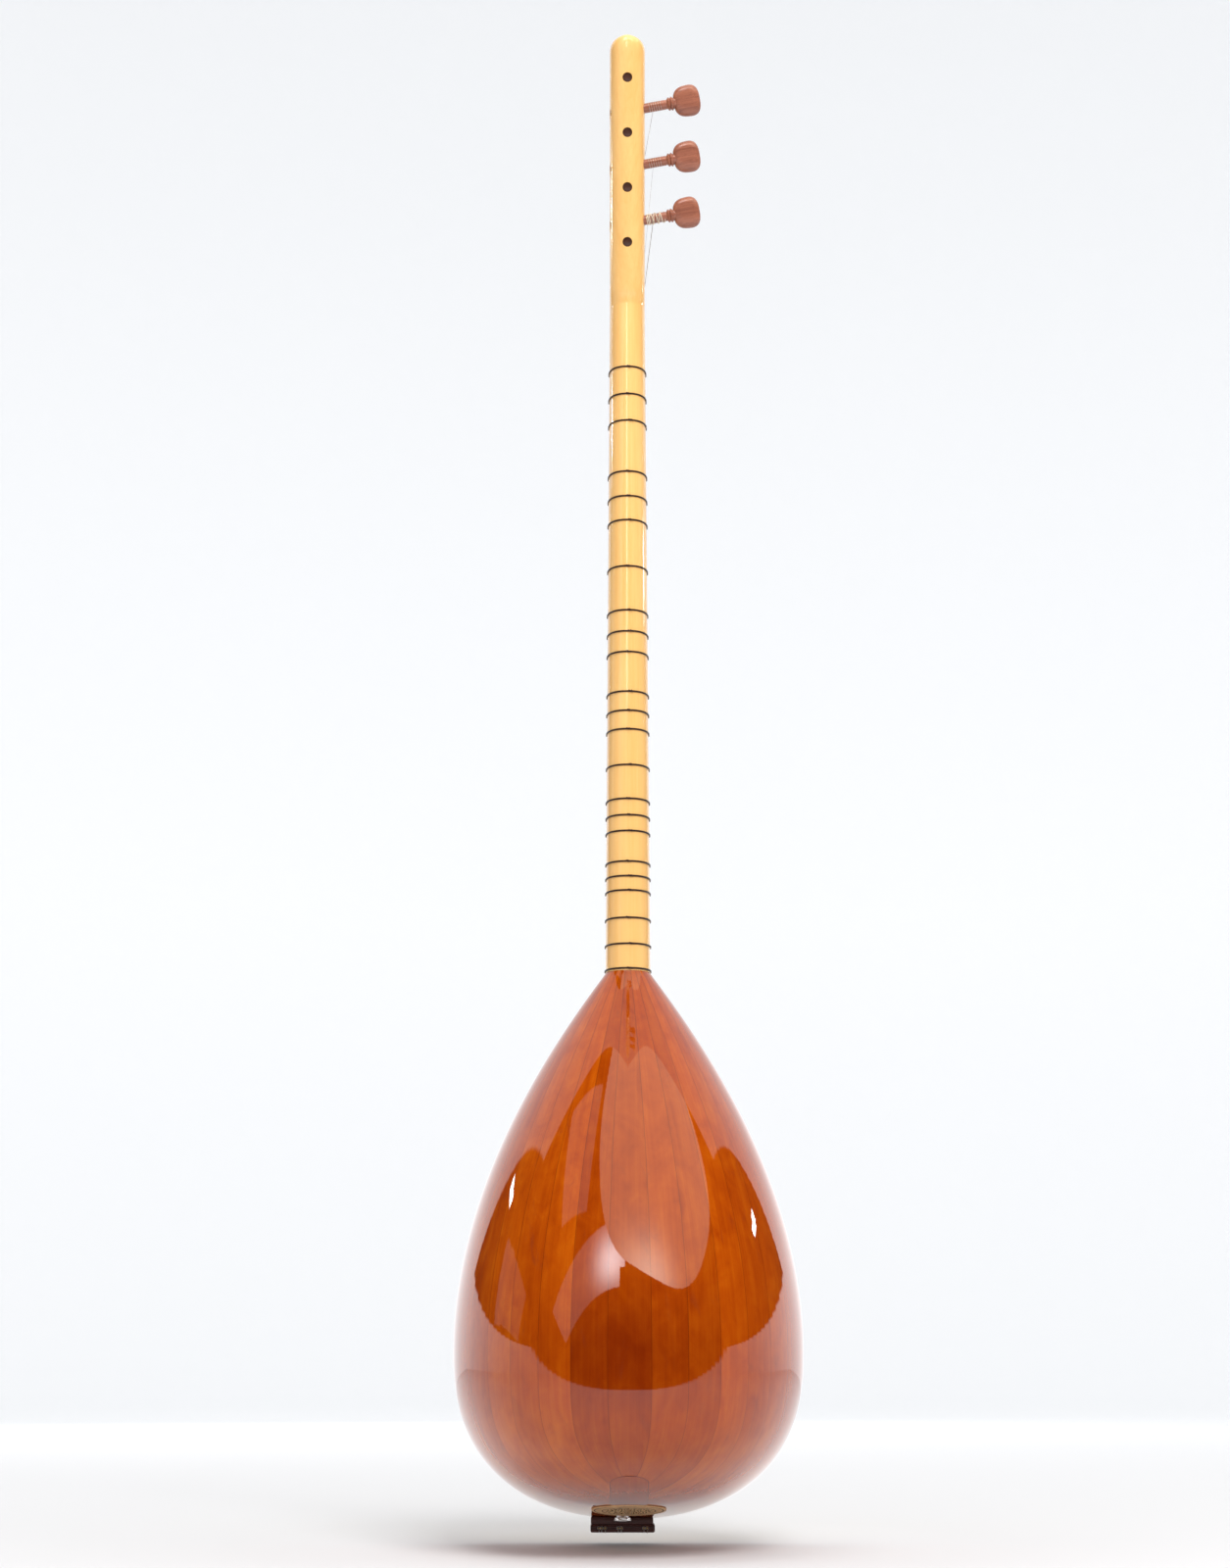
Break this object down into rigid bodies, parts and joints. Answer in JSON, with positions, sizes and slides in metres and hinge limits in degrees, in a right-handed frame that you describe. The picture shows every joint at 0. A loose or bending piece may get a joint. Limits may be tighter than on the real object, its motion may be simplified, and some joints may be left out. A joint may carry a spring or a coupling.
{
  "type": "baglama saz",
  "caption": "Long-necked lute with a deep staved bowl, tied movable frets, front and side tuning pegs, a floating bridge and a pierced rosette over the sound hole at its tail.",
  "frame": {"origin": "the tail edge of the bowl's rim, on the centre line of the soundboard's glued face", "axes": "+Z along the neck towards the head, -Y the way the soundboard and strings face, +Y the back of the bowl, +X the side of the bottom course"},
  "size_m": [0.27, 0.2479, 1.2073],
  "materials": {
    "bowl_wood": "clear gloss lacquer over orange-brown stained staves",
    "neck_wood": "clear gloss lacquer over pale yellow hardwood",
    "spruce_top": "satin lacquer over straight-grained softwood",
    "inner_wood": "bare planed softwood",
    "dark_wood": "oiled dark reddish hardwood",
    "rosette_wood": "thin cut and scorched light wood",
    "peg_wood": "polished reddish-brown hardwood",
    "bone": "polished bone-like plastic",
    "fret_nylon": "dark brown nylon line",
    "string_steel": "plain drawn steel",
    "jack_metal": "bright plating",
    "brass": "plain brass",
    "lead_cover": "flexible grey-black sleeve"
  },
  "bodies": {
    "instrument": {"soundboard": "spruce_top", "edge_binding": "dark_wood", "stave_centre": "bowl_wood", "stave_pair_1": "bowl_wood", "stave_pair_2": "bowl_wood", "stave_pair_3": "bowl_wood", "stave_pair_4": "bowl_wood", "stave_pair_5": "bowl_wood", "stave_pair_6": "bowl_wood", "stave_pair_7": "bowl_wood", "stave_pair_8": "bowl_wood", "tail_cap": "bowl_wood", "tail_rosette": "rosette_wood", "tailpiece": "dark_wood", "hitch_pins": "brass", "neck": "neck_wood", "headstock": "neck_wood", "nut": "bone", "neck_block": "inner_wood", "tail_block": "inner_wood", "soundboard_braces": "inner_wood", "side_linings": "inner_wood", "jack_barrel": "jack_metal", "jack_nut": "jack_metal", "pickup_disc": "brass", "pickup_lead": "lead_cover", "strings_bottom_course": "string_steel", "strings_middle_course": "string_steel", "strings_top_course": "string_steel"},
    "bridge": {"bridge": "dark_wood"},
    "front_peg_1": {"front_peg_1": "peg_wood"},
    "front_peg_2": {"front_peg_2": "peg_wood"},
    "front_peg_3": {"front_peg_3": "peg_wood"},
    "front_peg_4": {"front_peg_4": "peg_wood"},
    "side_peg_1": {"side_peg_1": "peg_wood"},
    "side_peg_2": {"side_peg_2": "peg_wood"},
    "side_peg_3": {"side_peg_3": "peg_wood"},
    "fret_01": {"fret_01": "fret_nylon"},
    "fret_02": {"fret_02": "fret_nylon"},
    "fret_03": {"fret_03": "fret_nylon"},
    "fret_04": {"fret_04": "fret_nylon"},
    "fret_05": {"fret_05": "fret_nylon"},
    "fret_06": {"fret_06": "fret_nylon"},
    "fret_07": {"fret_07": "fret_nylon"},
    "fret_08": {"fret_08": "fret_nylon"},
    "fret_09": {"fret_09": "fret_nylon"},
    "fret_10": {"fret_10": "fret_nylon"},
    "fret_11": {"fret_11": "fret_nylon"},
    "fret_12": {"fret_12": "fret_nylon"},
    "fret_13": {"fret_13": "fret_nylon"},
    "fret_14": {"fret_14": "fret_nylon"},
    "fret_15": {"fret_15": "fret_nylon"},
    "fret_16": {"fret_16": "fret_nylon"},
    "fret_17": {"fret_17": "fret_nylon"},
    "fret_18": {"fret_18": "fret_nylon"},
    "fret_19": {"fret_19": "fret_nylon"},
    "fret_20": {"fret_20": "fret_nylon"},
    "fret_21": {"fret_21": "fret_nylon"},
    "fret_22": {"fret_22": "fret_nylon"},
    "fret_23": {"fret_23": "fret_nylon"}
  },
  "joints": [
    {"name": "front_peg_1_turn", "type": "hinge", "parent": "instrument", "child": "front_peg_1", "pos_m": [0, 0.01327, 1.03347], "axis": [0, -0.9659, 0.2588], "continuous": true},
    {"name": "front_peg_2_turn", "type": "hinge", "parent": "instrument", "child": "front_peg_2", "pos_m": [0, 0.02489, 1.07684], "axis": [0, -0.9659, 0.2588], "continuous": true},
    {"name": "front_peg_3_turn", "type": "hinge", "parent": "instrument", "child": "front_peg_3", "pos_m": [0, 0.03651, 1.12021], "axis": [0, -0.9659, 0.2588], "continuous": true},
    {"name": "front_peg_4_turn", "type": "hinge", "parent": "instrument", "child": "front_peg_4", "pos_m": [0, 0.04813, 1.16358], "axis": [0, -0.9659, 0.2588], "continuous": true},
    {"name": "side_peg_1_turn", "type": "hinge", "parent": "instrument", "child": "side_peg_1", "pos_m": [-0.01465, 0.02701, 1.04998], "axis": [-0.9848, 0.0449, 0.1677], "continuous": true},
    {"name": "side_peg_2_turn", "type": "hinge", "parent": "instrument", "child": "side_peg_2", "pos_m": [-0.01465, 0.03892, 1.09441], "axis": [-0.9848, 0.0449, 0.1677], "continuous": true},
    {"name": "side_peg_3_turn", "type": "hinge", "parent": "instrument", "child": "side_peg_3", "pos_m": [-0.01465, 0.05082, 1.13885], "axis": [-0.9848, 0.0449, 0.1677], "continuous": true},
    {"name": "bridge_slide", "type": "slide", "parent": "instrument", "child": "bridge", "axis": [0, 0, 1], "range_m": [-0.003, 0.003]},
    {"name": "fret_01_slide", "type": "slide", "parent": "instrument", "child": "fret_01", "axis": [0, 0, 1], "range_m": [-0.003, 0.003]},
    {"name": "fret_02_slide", "type": "slide", "parent": "instrument", "child": "fret_02", "axis": [0, 0, 1], "range_m": [-0.003, 0.003]},
    {"name": "fret_03_slide", "type": "slide", "parent": "instrument", "child": "fret_03", "axis": [0, 0, 1], "range_m": [-0.003, 0.003]},
    {"name": "fret_04_slide", "type": "slide", "parent": "instrument", "child": "fret_04", "axis": [0, 0, 1], "range_m": [-0.003, 0.003]},
    {"name": "fret_05_slide", "type": "slide", "parent": "instrument", "child": "fret_05", "axis": [0, 0, 1], "range_m": [-0.003, 0.003]},
    {"name": "fret_06_slide", "type": "slide", "parent": "instrument", "child": "fret_06", "axis": [0, 0, 1], "range_m": [-0.003, 0.003]},
    {"name": "fret_07_slide", "type": "slide", "parent": "instrument", "child": "fret_07", "axis": [0, 0, 1], "range_m": [-0.003, 0.003]},
    {"name": "fret_08_slide", "type": "slide", "parent": "instrument", "child": "fret_08", "axis": [0, 0, 1], "range_m": [-0.003, 0.003]},
    {"name": "fret_09_slide", "type": "slide", "parent": "instrument", "child": "fret_09", "axis": [0, 0, 1], "range_m": [-0.003, 0.003]},
    {"name": "fret_10_slide", "type": "slide", "parent": "instrument", "child": "fret_10", "axis": [0, 0, 1], "range_m": [-0.003, 0.003]},
    {"name": "fret_11_slide", "type": "slide", "parent": "instrument", "child": "fret_11", "axis": [0, 0, 1], "range_m": [-0.003, 0.003]},
    {"name": "fret_12_slide", "type": "slide", "parent": "instrument", "child": "fret_12", "axis": [0, 0, 1], "range_m": [-0.003, 0.003]},
    {"name": "fret_13_slide", "type": "slide", "parent": "instrument", "child": "fret_13", "axis": [0, 0, 1], "range_m": [-0.003, 0.003]},
    {"name": "fret_14_slide", "type": "slide", "parent": "instrument", "child": "fret_14", "axis": [0, 0, 1], "range_m": [-0.003, 0.003]},
    {"name": "fret_15_slide", "type": "slide", "parent": "instrument", "child": "fret_15", "axis": [0, 0, 1], "range_m": [-0.003, 0.003]},
    {"name": "fret_16_slide", "type": "slide", "parent": "instrument", "child": "fret_16", "axis": [0, 0, 1], "range_m": [-0.003, 0.003]},
    {"name": "fret_17_slide", "type": "slide", "parent": "instrument", "child": "fret_17", "axis": [0, 0, 1], "range_m": [-0.003, 0.003]},
    {"name": "fret_18_slide", "type": "slide", "parent": "instrument", "child": "fret_18", "axis": [0, 0, 1], "range_m": [-0.003, 0.003]},
    {"name": "fret_19_slide", "type": "slide", "parent": "instrument", "child": "fret_19", "axis": [0, 0, 1], "range_m": [-0.003, 0.003]},
    {"name": "fret_20_slide", "type": "slide", "parent": "instrument", "child": "fret_20", "axis": [0, 0, 1], "range_m": [-0.003, 0.003]},
    {"name": "fret_21_slide", "type": "slide", "parent": "instrument", "child": "fret_21", "axis": [0, 0, 1], "range_m": [-0.003, 0.003]},
    {"name": "fret_22_slide", "type": "slide", "parent": "instrument", "child": "fret_22", "axis": [0, 0, 1], "range_m": [-0.003, 0.003]},
    {"name": "fret_23_slide", "type": "slide", "parent": "instrument", "child": "fret_23", "axis": [0, 0, 1], "range_m": [0, 0.003]}
  ]
}
